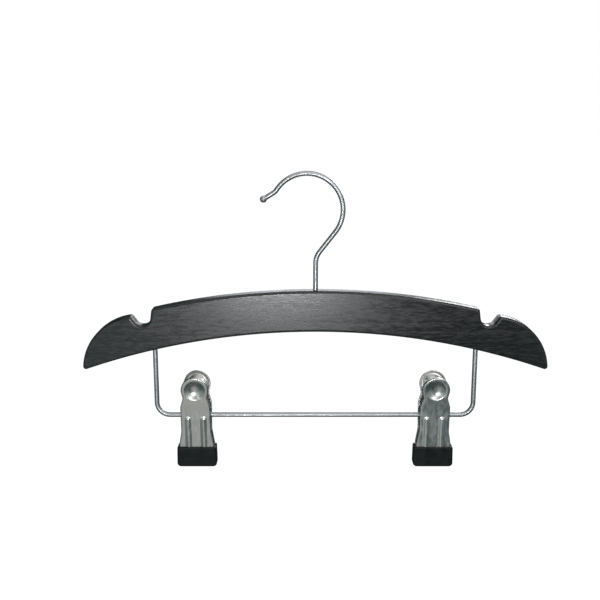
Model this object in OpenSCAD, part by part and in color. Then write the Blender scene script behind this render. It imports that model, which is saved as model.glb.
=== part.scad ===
// Wooden skirt hanger: a curved board on a swivelling wire hook, with a U-shaped wire
// bar below it and two stamped spring clips on the bar.
// Millimetres, +Z up, X along the board, front towards -Y.
// The origin is the rail seat, the inside of the hook's crown.

/* [Hook] */
// Thickness of the hook's wire
hook_wire_d = 3.7; // [3:0.1:4.4]
// Radius of the crook, to the middle of the wire
crook_r = 26.8; // [24:0.2:32]
// Height of the rail seat above the top of the wood
hook_h = 85.3; // [80:0.5:100]
// Distance from the crown of the crook across to the stem
stem_offset = 6.6; // [0:0.1:9]
// Slope of the neck, counted from upright
neck_angle = 38; // [32:1:44]
// Radius of the bend between the neck and the stem, to the middle of the wire
neck_bend_r = 14; // [8:1:18]
// Angle at which the crook ends, counted from level on the neck's side over the crown
crook_end = 147; // [130:1:160]
// Radius of the bend that turns the lip outwards, to the middle of the wire
lip_bend_r = 6; // [5:0.5:10]
// How far the lip turns outwards
lip_turn = 25; // [10:1:40]
// Straight length of the lip, up to the middle of the ball
lip_l = 9.2; // [5:0.1:12]
// Diameter of the ball formed on the tip
ball_d = 5.2; // [4.8:0.1:7]

/* [Wood] */
// Length of the board
wood_l = 355; // [340:1:400]
// Height of the board at its middle
wood_h = 31.5; // [29:0.5:36]
// Thickness of the board
wood_t = 12; // [11:0.5:16]
// Radius of the top edge
wood_top_r = 557; // [500:1:620]
// Radius of the bottom edge
wood_bottom_r = 535; // [500:1:600]
// Radius of the round shoulder at each end
wood_end_r = 42.5; // [36:0.5:48]
// Radius of the small corner at each tip
tip_r = 2.2; // [2.2:0.1:4]
// Radius of the rounding along all edges
edge_r = 1.9; // [1:0.1:2.1]

/* [Strap notches] */
// Distance from the middle of the board to each notch
notch_x = 130.9; // [127:0.1:134]
// Radius of the bottom of the notch
notch_r = 6.3; // [5:0.1:7]
// Depth of the notch below the top of the board's middle
notch_drop = 26.8; // [24:0.2:28]
// Slope of the inner wall of the notch, counted from upright
notch_inner_slope = 8; // [2:1:20]
// Slope of the outer wall of the notch, counted from upright
notch_outer_slope = 36; // [25:1:45]
// Radius of the lips of the notch
notch_lip_r = 2.2; // [2.2:0.1:3]

/* [Hook fastening] */
// Diameter of the counterbore under the wood
cbore_d = 9; // [8.8:0.1:9.4]
// Depth of the counterbore
cbore_depth = 7; // [6.5:0.5:10]
// Outer diameter of the washer
washer_d = 8.4; // [8:0.1:8.6]
// Thickness of the washer
washer_t = 1; // [0.6:0.1:1.2]
// Width of the nut across its flats
nut_flats = 7; // [6:0.1:7.2]
// Height of the nut
nut_h = 3.2; // [2.4:0.1:3.6]
// Length of stem that shows below the nut
stem_over = 0.8; // [0.4:0.1:1.2]

/* [Bar] */
// Thickness of the bar's wire
bar_wire_d = 3.7; // [3:0.1:4.2]
// Distance from the middle of the hanger to each leg
leg_x = 122.5; // [120:0.5:124]
// Distance from the bottom of the wood's middle down to the bar
bar_drop = 67.4; // [62:0.2:80]
// Radius of the bar's bends, to the middle of the wire
bar_bend_r = 10; // [6:0.5:10.5]
// Depth of each leg in the wood, above the lower edge
leg_depth = 14; // [10:0.5:15]

/* [Clip jaws] */
// Distance from the middle of the hanger to each clip
clip_x = 92.2; // [80:0.1:100]
// Thickness of the sheet metal
sheet_t = 0.9; // [0.7:0.05:1]
// Radius of the round ear
ear_r = 10.6; // [10:0.1:11.5]
// Height of the ear's middle above the bar
ear_z = 22.3; // [22:0.1:25]
// Radius of the finger dish in the ear
dish_r = 7.7; // [6.5:0.1:8.2]
// Depth of the finger dish
dish_depth = 2.8; // [2:0.1:3.2]
// Angle at which the ear turns into the waist, below level
waist_angle = 13; // [10:1:18]
// Length of the straight side between the ear and the waist
waist_l = 4.4; // [3.5:0.1:5]
// Half the width of the jaw at the shoulders
shoulder_x = 11.6; // [11.2:0.1:12]
// Height of the shoulders above the bar
shoulder_z = 8.3; // [7.5:0.1:9.5]
// Half the width of the jaw inside its cap
foot_x = 13.6; // [12.8:0.1:14]
// Depth below the bar at which the jaw starts to flare
flare_top = 12.5; // [11:0.5:14]
// Depth below the bar at which the flare ends
flare_end = 23.5; // [20:0.5:24]
// Depth of the jaw's foot below the bar
jaw_low = 40.1; // [38:0.1:42]
// Distance from the middle of the clip to the outside of the jaw, at the bar
jaw_out = 6.5; // [6.4:0.1:7.5]
// Slope of the jaw below the bar, towards the other jaw
foot_lean = 5; // [3:0.1:5.1]
// Slope of the ear, away from the other jaw
ear_lean = 9.2; // [8.8:0.1:14]
// Height of the bend between the two slopes
lean_bend_z = 5; // [3:0.5:7]
// Radius of that bend
lean_bend_r = 12; // [6:1:20]
// Depth of the turned-in edge, with the sheet
edge_in = 2.8; // [2:0.1:3]
// Depth of the turned-in edge inside the cap, with the sheet
foot_edge_in = 1.5; // [1.2:0.1:1.6]
// Radius of the bearing tabs round the bar
tab_r = 4.5; // [3.8:0.1:4.6]

/* [Jaw ribs] */
// Distance from the middle of the jaw to each rib
rib_x = 5.9; // [5:0.1:6.4]
// Width of a rib
rib_w = 4.4; // [3.6:0.1:5]
// Height of a rib over the sheet
rib_h = 0.8; // [0.5:0.05:1]
// Height of the rib's upper end above the bar
rib_top = 0.3; // [-4:0.1:2]
// Depth of the rib's lower end below the bar
rib_low = 31.4; // [28:0.2:34]

/* [Caps] */
// Width of a cap
cap_w = 31.2; // [30:0.1:33]
// Depth of the cap's upper edge below the bar
cap_top = 25; // [24:0.1:26.5]
// Thickness of the cap under the jaw's foot
cap_floor = 1.4; // [0.9:0.1:2]
// Thickness of the cap over the outside of the jaw
cap_skin = 1.3; // [1.1:0.1:2]
// Radius of the cap's lower corners
cap_corner_r = 2.4; // [1.5:0.1:4]
// Radius of the cap's other edges
cap_edge_r = 1; // [0.6:0.1:1.2]

/* [Springs] */
// Thickness of the spring's wire
spring_wire_d = 1.4; // [1:0.1:1.5]
// Radius of the coil, to the middle of the wire
coil_r = 3.3; // [3.2:0.05:3.6]
// Whole turns of the coil
coil_turns = 5; // [4:1:6]
// Pitch of the coil
coil_pitch = 1.9; // [1.86:0.02:2]
// Height above the bar at which the spring's legs end
spring_leg_z = 13; // [11:0.5:14]

/* [Fits] */
// Radial clearance of what turns or slides
run_fit = 0.05; // [0.02:0.01:0.1]
// Clearance of what is glued, screwed or pushed on
snug_fit = 0.02; // [0.01:0.01:0.05]
// Gap between two faces of different moving pieces
face_gap = 0.3; // [0.2:0.05:0.4]

/* [Hidden] */
$fn = 64;
// Reach of the shapes that only cut or bound others
far = 60;

// Heights, from the rail seat
wood_top_z = -hook_h;
wood_low_z = wood_top_z - wood_h;
bar_z = wood_low_z - bar_drop;
cbore_roof_z = wood_low_z + cbore_depth;
washer_low_z = cbore_roof_z - run_fit - washer_t;
nut_low_z = washer_low_z - snug_fit - nut_h;

function unit(v) = v / norm(v);
function angle_of(v) = atan2(v[1], v[0]);
function polar(r, a) = r * [cos(a), sin(a)];
function reversed(list) = [for (i = [len(list) - 1 : -1 : 0]) list[i]];
function joined(lists) = [for (part = lists) each part];
// Points on an arc from angle a to angle b
function arc(centre, r, a, b, steps) = [for (i = [0 : steps]) centre + polar(r, a + (b - a) * i / steps)];

// One corner of an outline that runs counterclockwise, rounded with radius r and then
// set in by inset. A hollow corner keeps its middle too, so its radius grows instead.
corner_step = 12;
function corner(before, at, after, r, inset) =
    let (u = unit(at - before),
         v = unit(after - at),
         in_u = [-u[1], u[0]],
         in_v = [-v[1], v[0]],
         side = sign(cross(u, v)),
         centre = at + side * r * (in_u + in_v) / (1 + in_u * in_v),
         start = angle_of(-side * in_u),
         turn = atan2(cross(u, v), u * v))
    arc(centre, r - side * inset, start, start + turn, max(2, ceil(abs(turn) / corner_step)));
// A closed outline from its corners, each [point, radius]
function outline(corners, inset) =
    let (n = len(corners))
    joined([for (i = [0 : n - 1])
        corner(corners[(i + n - 1) % n][0], corners[i][0], corners[(i + 1) % n][0],
               corners[i][1], inset)]);
// The same corners on the other side of the middle line, in running order
function mirrored(corners) = [for (c = reversed(corners)) [[-c[0][0], c[0][1]], c[1]]];

// A solid through outlines of equal length, each clockwise as seen from the first one.
// Both ends are closed by the faces in cap, which count an outline's points from 0.
module loft(layers, cap) {
    n = len(layers[0]);
    last = len(layers) - 1;
    polyhedron(
        points = joined(layers),
        faces = concat(
            cap,
            joined([for (k = [0 : last - 1], i = [0 : n - 1])
                let (a = k * n + i, b = k * n + (i + 1) % n)
                [[a, a + n, b + n], [a, b + n, b]]]),
            [for (face = cap) [for (i = reversed(face)) last * n + i]]));
}

// Straight wire of length l along +Z, with what follows it at its end
module run(d, l) {
    cylinder(d = d, h = l);
    translate([0, 0, l]) children();
}

// Wire bent from +Z by angle a, towards +X when side is 1 and towards -X when it is -1.
// Bending draws the wire a trace thinner, and the bend laps into the wire on either side.
bend_thins = 0.01;
bend_lap = 0.1;
module bend(d, r, a, side = 1) {
    lap_angle = bend_lap / r * 180 / PI;
    rotate([0, 0, 90 * (1 - side)]) {
        translate([r, 0, 0])
            rotate([90, 0, 0])
            rotate_extrude(angle = a + 2 * lap_angle, start = 180 - a - lap_angle)
            translate([r, 0])
            circle(d = d - 2 * bend_thins);
        translate([r - r * cos(a), 0, r * sin(a)])
            rotate([0, a, 0])
            rotate([0, 0, 90 * (1 - side)])
            children();
    }
}

// Outline of the board, from the middle of its top edge
top_c = [0, -wood_top_r];
bottom_c = [0, -wood_h - wood_bottom_r];
// Height of the bottom edge at a distance x from the middle
function wood_low_at(x) = bottom_c[1] + sqrt(wood_bottom_r ^ 2 - x ^ 2);
// The shoulder's arc is upright where it reaches the tip
end_c = [wood_l / 2 - wood_end_r, wood_low_at(wood_l / 2)];
notch_c = [notch_x, notch_r - notch_drop];
inner_wall = [-sin(notch_inner_slope), cos(notch_inner_slope)];
outer_wall = [sin(notch_outer_slope), cos(notch_outer_slope)];

// Where a line from p meets a circle that it starts inside of
function line_to_circle(p, dir, centre, r) =
    let (q = p - centre, b = q * dir)
    p + (sqrt(b ^ 2 - q * q + r ^ 2) - b) * dir;
// Where two circles cross, on the right of the line from c1 down to c2
function circle_to_circle(c1, r1, c2, r2) =
    let (d = norm(c2 - c1),
         u = (c2 - c1) / d,
         along = (r1 ^ 2 - r2 ^ 2 + d ^ 2) / (2 * d))
    c1 + along * u + sqrt(r1 ^ 2 - along ^ 2) * [-u[1], u[0]];

// Each lip is a small arc that touches its wall and the arc beyond it
inner_lip_c = line_to_circle(
    notch_c + (notch_r + notch_lip_r) * [-cos(notch_inner_slope), -sin(notch_inner_slope)],
    inner_wall, top_c, wood_top_r - notch_lip_r);
outer_lip_c = line_to_circle(
    notch_c + (notch_r + notch_lip_r) * [cos(notch_outer_slope), -sin(notch_outer_slope)],
    outer_wall, end_c, wood_end_r - notch_lip_r);
tip_c = circle_to_circle(end_c, wood_end_r - tip_r, bottom_c, wood_bottom_r + tip_r);

// Right half of the outline, set in by inset, clockwise from top middle to bottom middle.
// An arc that touches the one before it leaves out the point that they share.
function board_half(inset) =
    let (at_inner_lip = angle_of(inner_lip_c - top_c),
         at_outer_lip = angle_of(outer_lip_c - end_c),
         at_tip = angle_of(tip_c - end_c),
         on = function (centre, r, a, b, steps, first = 1)
             [for (i = [first : steps]) centre + polar(r, a + (b - a) * i / steps)])
    concat(
        on(top_c, wood_top_r - inset, 90, at_inner_lip, 12, 0),
        on(inner_lip_c, notch_lip_r - inset, at_inner_lip, notch_inner_slope, 4),
        on(notch_c, notch_r + inset, 180 + notch_inner_slope, 360 - notch_outer_slope, 9, 0),
        on(outer_lip_c, notch_lip_r - inset, 180 - notch_outer_slope, at_outer_lip, 4, 0),
        on(end_c, wood_end_r - inset, at_outer_lip, at_tip, 12),
        on(tip_c, tip_r - inset, at_tip, angle_of(bottom_c - tip_c), 5),
        on(bottom_c, wood_bottom_r + inset, angle_of(tip_c - bottom_c), 90, 14));
function board_outline(inset) =
    let (half = board_half(inset))
    concat(half, [for (i = [len(half) - 2 : -1 : 1]) [-half[i][0], half[i][1]]]);
// One outline of the board at depth y from its face, rounded over by angle a
function board_layer(side, a) =
    let (y = side * (wood_t / 2 - edge_r * (1 - sin(a))))
    [for (p = board_outline(edge_r * (1 - cos(a)))) [p[0], y, p[1]]];
// Triangles across the right half, from point i of its top edge to point j of its bottom
function half_cap(half, i, j) =
    j - i < 2 ? []
    : half[i + 1][0] <= half[j - 1][0] ? concat([[i, i + 1, j]], half_cap(half, i + 1, j))
    : concat([[i, j - 1, j]], half_cap(half, i, j - 1));
function board_cap(half) =
    let (n = 2 * len(half) - 2, right = half_cap(half, 0, len(half) - 1))
    concat(right, [for (t = right) [n - t[2], n - t[1], (n - t[0]) % n]]);

module at_board() translate([stem_offset, 0, wood_top_z]) children();

module wood_body() {
    round_steps = 4;
    leg_top = wood_low_at(leg_x) + leg_depth;
    color("#39393b") at_board() difference() {
        loft(concat(
            [for (i = [round_steps : -1 : 0]) board_layer(-1, 90 * i / round_steps)],
            [for (i = [0 : round_steps]) board_layer(1, 90 * i / round_steps)]),
            board_cap(board_half(edge_r)));
        translate([0, 0, -far]) cylinder(d = hook_wire_d + 2 * run_fit, h = 2 * far);
        translate([0, 0, -wood_h - far]) cylinder(d = cbore_d, h = far + cbore_depth);
        for (side = [-1, 1])
            translate([side * leg_x, 0, leg_top - far])
                cylinder(d = bar_wire_d + 2 * snug_fit, h = far + snug_fit);
    }
}

// The hook's wire runs up from the nut, over the crown and down to the tip
crook_c_z = hook_wire_d / 2 - crook_r;
neck_l = (crook_r * cos(neck_angle) - stem_offset - neck_bend_r * (1 - cos(neck_angle)))
    / sin(neck_angle);
neck_bend_z = crook_c_z - crook_r * sin(neck_angle) - neck_l * cos(neck_angle)
    - neck_bend_r * sin(neck_angle);

module hook_wire() {
    foot_z = nut_low_z - stem_over;
    color("#c3c6c8") translate([stem_offset, 0, foot_z])
        run(hook_wire_d, neck_bend_z - foot_z)
        bend(hook_wire_d, neck_bend_r, neck_angle)
        run(hook_wire_d, neck_l)
        bend(hook_wire_d, crook_r, neck_angle + crook_end, -1)
        bend(hook_wire_d - 2 * bend_thins, lip_bend_r, lip_turn)
        run(hook_wire_d, lip_l)
        sphere(d = ball_d);
}

module hook_washer() {
    color("#a9acae") translate([stem_offset, 0, washer_low_z]) difference() {
        cylinder(d = washer_d, h = washer_t);
        translate([0, 0, -far]) cylinder(d = hook_wire_d + 2 * run_fit, h = 2 * far);
    }
}

module hook_nut() {
    color("#a9acae") translate([stem_offset, 0, nut_low_z]) difference() {
        cylinder(d = nut_flats / cos(30), h = nut_h, $fn = 6);
        translate([0, 0, -far]) cylinder(d = hook_wire_d + 2 * snug_fit, h = 2 * far);
    }
}

module clip_bar() {
    leg_top = wood_top_z + wood_low_at(leg_x) + leg_depth;
    leg_l = leg_top - bar_z - bar_bend_r;
    color("#c3c6c8") translate([stem_offset - leg_x, 0, leg_top])
        rotate([180, 0, 0])
        run(bar_wire_d, leg_l)
        bend(bar_wire_d, bar_bend_r, 90)
        run(bar_wire_d, 2 * (leg_x - bar_bend_r))
        bend(bar_wire_d, bar_bend_r, 90)
        run(bar_wire_d, leg_l);
}

// Side view of a jaw, as points of [distance from the clip's middle plane, height above
// the bar]. A face lies at a depth in from the outside of the jaw.
function outward(lean) = [cos(lean), -sin(lean)];
lean_bend = [jaw_out + lean_bend_z * tan(foot_lean), lean_bend_z];
lean_bend_c = lean_bend + lean_bend_r * (outward(foot_lean) + outward(ear_lean))
    / (1 + outward(foot_lean) * outward(ear_lean));
function low_face(z, depth) = [jaw_out + z * tan(foot_lean), z] - depth * outward(foot_lean);
function ear_face(z, depth) =
    lean_bend + (z - lean_bend_z) * [tan(ear_lean), 1] - depth * outward(ear_lean);
function bend_face(depth) = [for (i = [0 : 4])
    lean_bend_c - (lean_bend_r + depth) * outward(foot_lean + (ear_lean - foot_lean) * i / 4)];
function face_line(depth) =
    concat([low_face(-far, depth)], bend_face(depth), [ear_face(far, depth)]);
function face_band(from, to) = concat(face_line(from), reversed(face_line(to)));
// The turned-in edge is deep along the ear and shallow inside the cap
edge_line = concat(
    [low_face(-far, foot_edge_in), low_face(-flare_end, foot_edge_in), low_face(-flare_top, edge_in)],
    bend_face(edge_in),
    [ear_face(far, edge_in)]);
// A bearing tab runs from the sheet to a round end behind the bar
function touch_angle(p, side) = angle_of(p) + side * acos(tab_r / norm(p));
tab_high = ear_face(shoulder_z, sheet_t / 2);
tab_low = low_face(-flare_top, sheet_t / 2);
tab_side = concat(
    [tab_low, tab_high],
    arc([0, 0], tab_r, touch_angle(tab_high, 1), 360 + touch_angle(tab_low, -1), 12));

// Front view of a jaw, from its lower right corner up to the top of the ear
waist_touch = [0, ear_z] + ear_r * [cos(waist_angle), -sin(waist_angle)];
waist_r = 4;
jaw_right = [
    [[foot_x, -jaw_low], 2],
    [[foot_x, -flare_end], 6],
    [[shoulder_x, -flare_top], 14],
    [[shoulder_x, shoulder_z], 3],
    [waist_touch - waist_l * [sin(waist_angle), cos(waist_angle)], waist_r],
    [[ear_r, ear_z - ear_r * tan(waist_angle / 2)], ear_r],
    [[ear_r, ear_z + ear_r], ear_r]];
jaw_corners = concat(jaw_right, mirrored(jaw_right));

// Front and side views as long prisms. The front jaw lies towards -Y.
module front_prism() rotate([90, 0, 0]) linear_extrude(2 * far, center = true) children();
module side_prism(width) {
    rotate([90, 0, 90]) linear_extrude(width, center = true) mirror([1, 0]) children();
}

// The sheet with its edge turned in all round, as deep as the side view in children says
module jaw_pan() {
    difference() {
        intersection() {
            front_prism() polygon(outline(jaw_corners, 0));
            side_prism(2 * far) children();
        }
        intersection() {
            front_prism() polygon(outline(jaw_corners, sheet_t));
            side_prism(2 * far)
                polygon(concat(face_line(sheet_t), [[-far, far], [-far, -far]]));
        }
    }
}

// Middle of the ball that presses the dish, out in front of the ear
dish_ball_r = (dish_r ^ 2 + dish_depth ^ 2) / (2 * dish_depth);
dish_c = ear_face(ear_z, dish_depth - dish_ball_r);
module dish_ball(r) translate([0, -dish_c[0], dish_c[1]]) sphere(r);

// A rib is part of a round bar with a round upper end, laid in the sheet
rib_r = ((rib_w / 2) ^ 2 + rib_h ^ 2) / (2 * rib_h);
module rib_bars(r) {
    translate([0, -jaw_out, 0]) rotate([foot_lean, 0, 0])
        for (side = [-1, 1])
            translate([side * rib_x, rib_r - rib_h, 0]) {
                translate([0, 0, -rib_low]) cylinder(r = r, h = rib_low + rib_top - rib_w / 2);
                translate([0, 0, rib_top - rib_w / 2]) sphere(r);
            }
}

module front_jaw() {
    difference() {
        union() {
            jaw_pan() {
                polygon(concat(face_line(0), reversed(edge_line)));
                polygon(tab_side);
            }
            intersection() {
                dish_ball(dish_ball_r + sheet_t);
                side_prism(2 * ear_r) polygon(face_band(sheet_t / 2, 2 * dish_depth));
            }
            intersection() {
                rib_bars(rib_r);
                side_prism(2 * shoulder_x) polygon(face_band(-2 * rib_h, sheet_t / 2));
            }
        }
        dish_ball(dish_ball_r);
        rib_bars(rib_r - sheet_t);
        bar_bore();
    }
}

module bar_bore() {
    rotate([0, 90, 0]) cylinder(d = bar_wire_d + 2 * run_fit, h = 2 * far, center = true);
}

// The rear jaw's tabs run inside the front jaw's, and its edge is cut away round those
module rear_jaw() {
    tab_x = shoulder_x - sheet_t - face_gap - sheet_t / 2;
    relief_r = tab_r + 2 * face_gap;
    mirror([0, 1, 0]) difference() {
        union() {
            jaw_pan() difference() {
                polygon(concat(face_line(0), reversed(edge_line)));
                circle(relief_r);
            }
            for (side = [-1, 1])
                translate([side * tab_x, 0, 0]) side_prism(sheet_t) polygon(tab_side);
            intersection() {
                dish_ball(dish_ball_r + sheet_t);
                side_prism(2 * ear_r) polygon(face_band(sheet_t / 2, 2 * dish_depth));
            }
            intersection() {
                rib_bars(rib_r);
                side_prism(2 * shoulder_x) polygon(face_band(-2 * rib_h, sheet_t / 2));
            }
        }
        dish_ball(dish_ball_r);
        rib_bars(rib_r - sheet_t);
        bar_bore();
    }
}

// A cap is a block round the jaw's foot, with a pocket of the jaw's shape
cap_low = jaw_low + snug_fit + cap_floor;
cap_taper = 0.5;
cap_right = [
    [[cap_w / 2, -cap_low], cap_corner_r],
    [[cap_w / 2 - cap_taper, -cap_top], cap_edge_r]];
cap_side = [
    [[face_gap / 2, -cap_low], cap_edge_r / 2],
    [low_face(-cap_low, -cap_skin), cap_edge_r],
    [low_face(-cap_top, -cap_skin), cap_edge_r / 2],
    [[face_gap / 2, -cap_top], cap_edge_r / 2]];

module cap() {
    difference() {
        intersection() {
            front_prism() polygon(outline(concat(cap_right, mirrored(cap_right)), 0));
            side_prism(2 * far) polygon(outline(cap_side, 0));
        }
        intersection() {
            front_prism() polygon(outline(jaw_corners, -snug_fit));
            side_prism(2 * far) polygon(face_band(-snug_fit, foot_edge_in + snug_fit));
        }
        rib_bars(rib_r + snug_fit);
    }
}

// Torsion spring: a leg up each jaw, and a coil round the bar. The side view is a round
// of radius coil_r, counted from the rear over the top, and each leg touches it.
leg_seat = ear_face(spring_leg_z, sheet_t + face_gap + spring_wire_d / 2);
leg_lean = atan2(leg_seat[0], leg_seat[1]) - asin(coil_r / norm(leg_seat));
leg_len = (leg_seat[1] + coil_r * sin(leg_lean)) / cos(leg_lean);
coil_from = 180 + leg_lean;
coil_to = 360 * (coil_turns + 1) - leg_lean;
coil_step = 45;
function coil_x(a) = coil_pitch * (a - (coil_from + coil_to) / 2) / 360;
function coil_point(a) = [coil_x(a), coil_r * cos(a), coil_r * sin(a)];
function coil_way(a) = [0, -sin(a), cos(a)];
coil_angles = concat([for (a = [coil_from : coil_step : coil_to - 1]) a], [coil_to]);
// Middle of each ring of the wire, and the angle that the ring faces
spring_rings = concat(
    [[coil_point(coil_from) - leg_len * coil_way(coil_from), coil_from]],
    [[coil_point(coil_from) - spring_wire_d * coil_way(coil_from), coil_from]],
    [for (a = coil_angles) [coil_point(a), a]],
    [[coil_point(coil_to) + spring_wire_d * coil_way(coil_to), coil_to]],
    [[coil_point(coil_to) + leg_len * coil_way(coil_to), coil_to]]);
ring_sides = 8;
function wire_ring(c, a) = [for (k = [0 : ring_sides - 1])
    let (t = 360 * k / ring_sides)
    c + spring_wire_d / 2 * (cos(t) * [1, 0, 0] + sin(t) * [0, cos(a), sin(a)])];
// Least gap between the coil's turns, over all pairs half a turn or more apart
turn_rings = 360 / coil_step;
coil_gap = min([for (i = [0 : len(coil_angles) - 1], j = [0 : len(coil_angles) - 1])
    if (j - i > turn_rings / 2) norm(coil_point(coil_angles[j]) - coil_point(coil_angles[i]))])
    - spring_wire_d;
echo(str("least gap between the spring's turns: ", coil_gap, " mm"));

module spring() {
    loft([for (ring = spring_rings) wire_ring(ring[0], ring[1])], [[for (i = [0 : ring_sides - 1]) i]]);
}

module at_clip(side) translate([stem_offset + side * clip_x, 0, bar_z]) children();

module left_front_jaw() color("#d0d3d4") at_clip(-1) front_jaw();
module left_rear_jaw() color("#d0d3d4") at_clip(-1) rear_jaw();
module left_front_cap() color("#1d1f21") at_clip(-1) cap();
module left_rear_cap() color("#1d1f21") at_clip(-1) mirror([0, 1, 0]) cap();
module left_spring() color("#8e9294") at_clip(-1) spring();
module right_front_jaw() color("#d0d3d4") at_clip(1) front_jaw();
module right_rear_jaw() color("#d0d3d4") at_clip(1) rear_jaw();
module right_front_cap() color("#1d1f21") at_clip(1) cap();
module right_rear_cap() color("#1d1f21") at_clip(1) mirror([0, 1, 0]) cap();
module right_spring() color("#8e9294") at_clip(1) spring();

wood_body();
hook_wire();
hook_washer();
hook_nut();
clip_bar();
left_front_jaw();
left_rear_jaw();
left_front_cap();
left_rear_cap();
left_spring();
right_front_jaw();
right_rear_jaw();
right_front_cap();
right_rear_cap();
right_spring();
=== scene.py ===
"""Looks of the wooden skirt hanger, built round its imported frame.

Sizes are in millimetres until a mesh is made. Named angles are in degrees, but for the clips' two leans.
"""
from math import acos, asin, atan2, ceil, cos, degrees, hypot, pi, radians, sin, sqrt, tan

import bpy
import bmesh
import numpy as np
from mathutils import Matrix, Vector, geometry


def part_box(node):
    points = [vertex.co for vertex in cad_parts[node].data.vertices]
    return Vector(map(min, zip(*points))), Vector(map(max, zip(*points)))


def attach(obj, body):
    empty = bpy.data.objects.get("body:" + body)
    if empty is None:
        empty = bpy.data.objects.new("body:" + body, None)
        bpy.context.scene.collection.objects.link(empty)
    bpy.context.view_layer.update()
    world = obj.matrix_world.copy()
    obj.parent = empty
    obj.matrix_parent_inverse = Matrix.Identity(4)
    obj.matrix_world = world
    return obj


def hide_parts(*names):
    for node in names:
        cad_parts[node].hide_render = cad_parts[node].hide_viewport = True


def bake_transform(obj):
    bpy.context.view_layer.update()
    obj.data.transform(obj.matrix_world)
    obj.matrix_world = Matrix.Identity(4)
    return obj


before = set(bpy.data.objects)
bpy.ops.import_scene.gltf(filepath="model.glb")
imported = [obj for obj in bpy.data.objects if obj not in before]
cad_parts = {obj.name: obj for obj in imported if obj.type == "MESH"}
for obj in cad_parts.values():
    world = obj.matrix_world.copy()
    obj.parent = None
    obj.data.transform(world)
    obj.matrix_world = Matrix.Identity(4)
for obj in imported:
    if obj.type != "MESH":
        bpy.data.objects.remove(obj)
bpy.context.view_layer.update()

MM = 0.001
# Points closer than this are joined after a cut
WELD = 0.002
# Edges sharper than this stay sharp
SMOOTH_BELOW = 38
# Sides of round holes, of wires and of spring wire
ROUND_SIDES = 48
WIRE_SIDES = 28
SPRING_SIDES = 12


def low(node, axis):
    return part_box(node)[0][axis] / MM


def high(node, axis):
    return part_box(node)[1][axis] / MM


def middle(node, axis):
    return (low(node, axis) + high(node, axis)) / 2


# Places that the frame gives
STEM_X = middle("wood_body", 0)
WOOD_TOP = high("wood_body", 2)
WOOD_L = high("wood_body", 0) - low("wood_body", 0)
WOOD_T = high("wood_body", 1) - low("wood_body", 1)
BAR_D = high("clip_bar", 1) - low("clip_bar", 1)
BAR_Z = low("clip_bar", 2) + BAR_D / 2
CLIP_X = (middle("right_front_jaw", 0) - middle("left_front_jaw", 0)) / 2

# Hook
HOOK_D = BAR_D
CROOK_R = 26.8
NECK_ANGLE = 38
NECK_BEND_R = 14
CROOK_END = 147
LIP_BEND_R = 6
LIP_TURN = 25
LIP_L = 9.2
BALL_D = 5.2

# Board
WOOD_H = 31.5
WOOD_TOP_R = 557
WOOD_BOTTOM_R = 535
WOOD_END_R = 42.5
TIP_R = 2.2
EDGE_R = 1.9
NOTCH_X = 130.9
NOTCH_R = 6.3
NOTCH_DROP = 26.8
NOTCH_INNER_SLOPE = 8
NOTCH_OUTER_SLOPE = 36
NOTCH_LIP_R = 2.2
CBORE_D = 9
CBORE_DEPTH = 7

# Bar
LEG_X = 122.5
LEG_DEPTH = 14
BAR_BEND_R = 10

# Clips, from a middle on the bar's axis, with the two leans in radians
SHEET_T = 0.9
EAR_R = 10.6
EAR_Z = 22.3
DISH_R = 7.7
DISH_DEPTH = 2.8
WAIST_ANGLE = 13
WAIST_L = 4.4
WAIST_R = 4
SHOULDER_X = 11.6
SHOULDER_Z = 8.3
FOOT_X = 13.6
FLARE_TOP = 12.5
FLARE_END = 23.5
JAW_LOW = 40.1
JAW_OUT = 6.5
FOOT_LEAN = radians(5)
EAR_LEAN = radians(9.2)
LEAN_BEND_Z = 5
LEAN_BEND_HALF = 1.2
EDGE_IN = 2.8
FOOT_EDGE_IN = 1.5
TAB_R = 4.5
RIM_R = 1.1
RIB_X = 5.9
RIB_W = 4.4
RIB_H = 0.8
RIB_TOP = 0.3
RIB_LOW = 31.4
CAP_W = 31.2
CAP_TOP = 25
CAP_FLOOR = 1.4
CAP_SKIN = 1.3
SPRING_D = 1.4
COIL_R = 3.3
COIL_TURNS = 5
COIL_PITCH = 1.9
SPRING_LEG_Z = 13
RUN_FIT = 0.05
SNUG_FIT = 0.02
FACE_GAP = 0.3


# Plane geometry
def polar(r, degs):
    return np.array([r * cos(radians(degs)), r * sin(radians(degs))])


def angle_of(v):
    return degrees(atan2(v[1], v[0]))


def arc(centre, r, a, b, steps, first=0):
    """Points on an arc from angle a to angle b, which leaves out the ones before first."""
    return [np.array(centre) + polar(r, a + (b - a) * i / steps) for i in range(first, steps + 1)]


def corner(before, at, after, r, inset, step):
    """One rounded corner of an outline that runs counterclockwise, set in by inset."""
    u = (at - before) / np.linalg.norm(at - before)
    v = (after - at) / np.linalg.norm(after - at)
    in_u = np.array([-u[1], u[0]])
    in_v = np.array([-v[1], v[0]])
    turn = degrees(atan2(u[0] * v[1] - u[1] * v[0], u @ v))
    side = 1 if turn > 0 else -1
    centre = at + side * r * (in_u + in_v) / (1 + in_u @ in_v)
    start = angle_of(-side * in_u)
    return arc(centre, r - side * inset, start, start + turn, max(3, ceil(abs(turn) / step)))


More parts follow.
